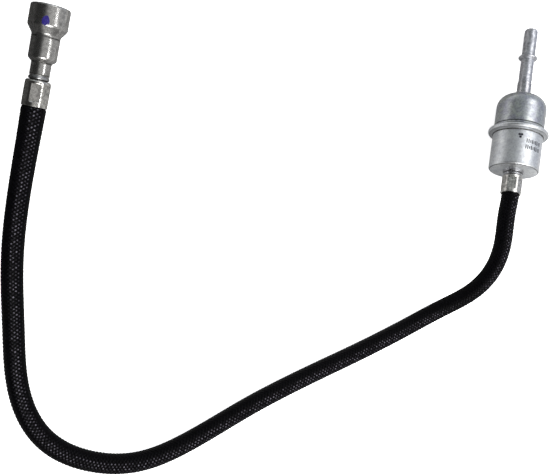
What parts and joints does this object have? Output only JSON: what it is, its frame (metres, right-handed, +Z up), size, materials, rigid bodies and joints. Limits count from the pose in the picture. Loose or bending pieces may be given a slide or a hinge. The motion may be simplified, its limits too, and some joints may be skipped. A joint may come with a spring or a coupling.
{
  "type": "fuel filter",
  "caption": "In-line fuel filter in a seamed metal can with a beaded quick-connect spigot, a braided flexible hose and a push-on quick-connect coupling.",
  "frame": {"origin": "on the surface that the filter lies on, under the middle of the filter's box (hose and coupling not counted)", "axes": "+Z up from the surface; the filter's long axis lies in the YZ plane, with its inlet spigot towards +Y and its hose end towards -Y; the filter lies on its seam and its domed shoulder, so its spigot dips by 10.3 degrees"},
  "size_m": [0.3007, 0.307, 0.0357],
  "materials": {
    "can_inlet": "zinc plated, satin, blotchy",
    "can_outlet": "zinc plated, satin, bright",
    "spigot_steel": "zinc plated, satin, faintly drawn",
    "collar_steel": "zinc plated, satin",
    "ferrule_steel": "nickel plated, crimped",
    "coupling_steel": "nickel plated, turned",
    "stem_steel": "plain drawn tube",
    "braid": "woven, satin yarn",
    "hose_rubber": "smooth, matte",
    "seal_rubber": "smooth, oiled",
    "media_paper": "resin treated, matte",
    "cap_steel": "tin plated, satin",
    "spring_steel": "oiled wire",
    "bushing_plastic": "moulded nylon",
    "spacer_plastic": "moulded nylon",
    "retainer_steel": "stainless spring sheet"
  },
  "bodies": {
    "root": {"inlet_shell": "can_inlet", "outlet_shell": "can_outlet", "seam_seal": "seal_rubber", "inlet_spigot": "spigot_steel", "inlet_collar": "collar_steel", "outlet_nipple": "stem_steel", "outlet_collar": "collar_steel", "filter_ferrule": "ferrule_steel", "filter_media": "media_paper", "inlet_end_cap": "cap_steel", "outlet_end_cap": "cap_steel", "centre_tube": "cap_steel", "element_seal": "seal_rubber", "element_spring": "spring_steel", "hose_liner": "hose_rubber", "hose_cover": "braid", "coupling_ferrule": "ferrule_steel", "coupling_stem": "stem_steel", "coupling_housing": "coupling_steel", "coupling_retainer": "retainer_steel", "guide_bushing": "bushing_plastic", "o_ring_front": "seal_rubber", "o_ring_rear": "seal_rubber", "o_ring_spacer": "spacer_plastic"}
  },
  "joints": []
}
